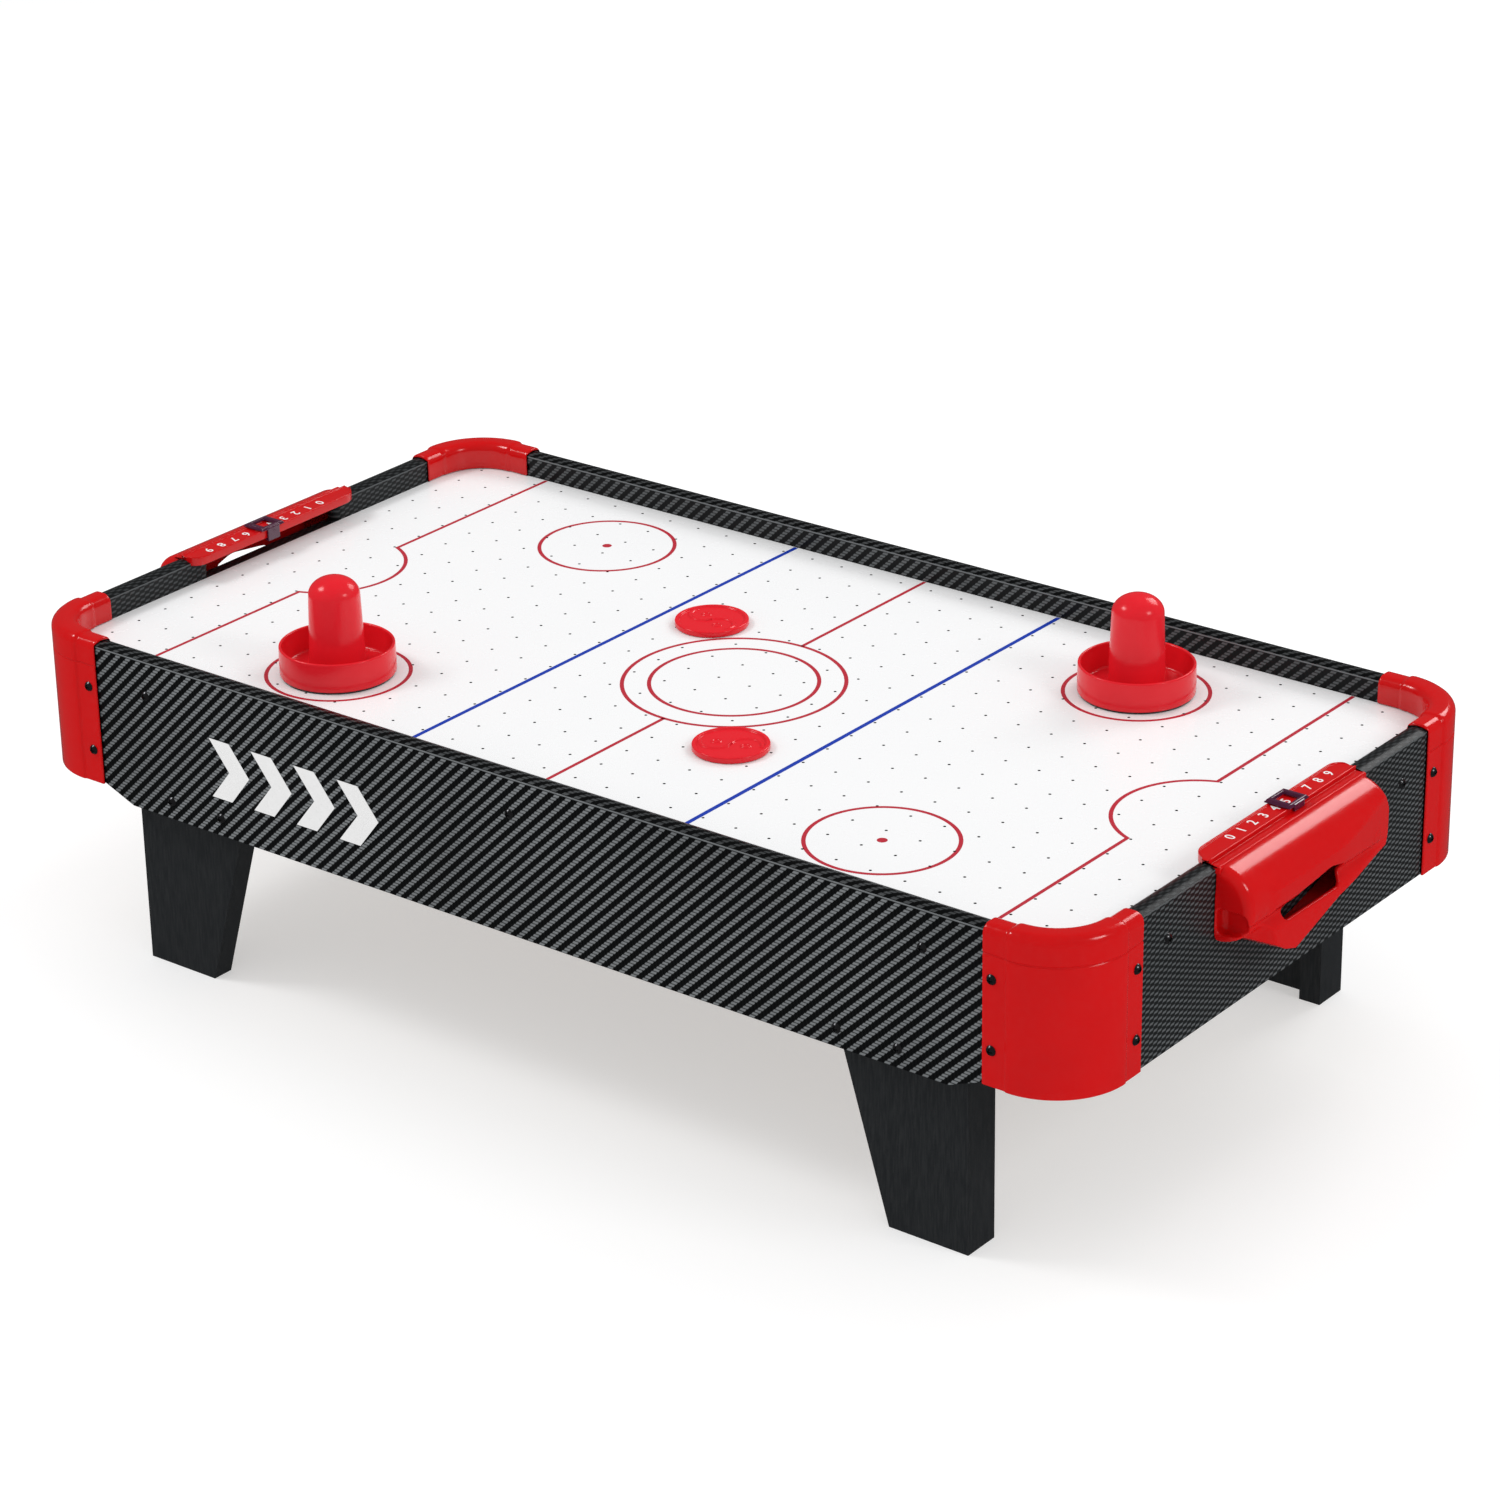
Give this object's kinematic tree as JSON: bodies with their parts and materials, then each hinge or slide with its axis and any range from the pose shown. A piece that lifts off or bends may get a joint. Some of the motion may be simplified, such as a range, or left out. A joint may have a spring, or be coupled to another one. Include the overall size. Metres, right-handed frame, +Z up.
{
  "type": "air hockey table",
  "caption": "Tabletop air hockey table with a perforated white field, black boards, red corner caps and goal boxes, short legs, pushers and pucks.",
  "frame": {"origin": "on the floor under the centre of the table's bounding box", "axes": "+X along the table, +Y across it, +Z up"},
  "size_m": [0.861, 0.4436, 0.2692],
  "materials": {
    "field_laminate": "glossy white printed laminate on hardboard",
    "board_laminate": "fibreboard wrapped in glossy black foil with a woven pattern",
    "red_plastic": "glossy moulded red plastic",
    "timber": "planed softwood",
    "hardboard": "smooth brown hardboard",
    "leg_laminate": "fibreboard with satin charcoal foil",
    "slider_plastic": "dark purple tinted plastic",
    "pusher_plastic": "glossy light red plastic",
    "felt": "thin dark felt",
    "black_plastic": "black moulded plastic",
    "motor_steel": "bright steel",
    "bush_brass": "sintered bronze",
    "impeller_plastic": "dark blue moulded plastic",
    "rocker_plastic": "glossy red plastic",
    "lead_rubber": "black twin lead",
    "clip_nylon": "natural nylon",
    "screw_black": "black zinc plated"
  },
  "bodies": {
    "table": {"playfield": "field_laminate", "bottom_panel": "hardboard", "long_board_front": "board_laminate", "long_board_back": "board_laminate", "end_board_left": "board_laminate", "end_board_right": "board_laminate", "corner_cap_front_left": "red_plastic", "corner_cap_front_right": "red_plastic", "corner_cap_back_left": "red_plastic", "corner_cap_back_right": "red_plastic", "corner_blocks": "timber", "side_cleats": "timber", "end_cleats": "timber", "cross_ribs": "timber", "leg_front_left": "leg_laminate", "leg_front_right": "leg_laminate", "leg_back_left": "leg_laminate", "leg_back_right": "leg_laminate", "goal_box_left": "red_plastic", "goal_box_right": "red_plastic", "blower_housing": "black_plastic", "blower_grille": "black_plastic", "blower_motor": "motor_steel", "motor_bushes": "bush_brass", "power_plate": "black_plastic", "switch_body": "black_plastic", "dc_jack": "black_plastic", "wire_harness": "lead_rubber", "wire_clips": "clip_nylon", "board_screws": "screw_black", "leg_screws": "screw_black", "cap_screws": "screw_black", "goal_screws": "screw_black", "blower_screws": "screw_black", "panel_screws": "screw_black", "plate_screws": "screw_black"},
    "score_right": {"score_slider_right": "slider_plastic"},
    "score_left": {"score_slider_left": "slider_plastic"},
    "pusher_left": {"pusher_left": "pusher_plastic", "pusher_felt_left": "felt"},
    "pusher_right": {"pusher_right": "pusher_plastic", "pusher_felt_right": "felt"},
    "puck_front": {"puck_front": "pusher_plastic"},
    "puck_back": {"puck_back": "pusher_plastic"},
    "impeller": {"impeller": "impeller_plastic", "motor_shaft": "motor_steel"},
    "rocker": {"switch_rocker": "rocker_plastic"}
  },
  "joints": [
    {"name": "score_right_slide", "type": "slide", "parent": "table", "child": "score_right", "axis": [0, 1, 0], "range_m": [-0.06, 0.048]},
    {"name": "score_left_slide", "type": "slide", "parent": "table", "child": "score_left", "axis": [0, -1, 0], "range_m": [-0.054, 0.054]},
    {"name": "pusher_left_glide", "type": "slide", "parent": "table", "child": "pusher_left", "axis": [1, 0, 0], "range_m": [-0.1425, 0.1725]},
    {"name": "pusher_right_glide", "type": "slide", "parent": "table", "child": "pusher_right", "axis": [-1, 0, 0], "range_m": [-0.1425, 0.1725]},
    {"name": "puck_front_glide", "type": "slide", "parent": "table", "child": "puck_front", "axis": [0, 1, 0], "range_m": [-0.0985, 0.152]},
    {"name": "puck_back_glide", "type": "slide", "parent": "table", "child": "puck_back", "axis": [0, 1, 0], "range_m": [-0.136, 0.1145]},
    {"name": "impeller_spin", "type": "hinge", "parent": "table", "child": "impeller", "pos_m": [0, 0, 0.155], "axis": [0, 0, 1], "continuous": true},
    {"name": "power_rocker", "type": "hinge", "parent": "table", "child": "rocker", "pos_m": [0.139, 0.218, 0.15], "axis": [0, 0, 1], "range_deg": [0, 16]}
  ]
}
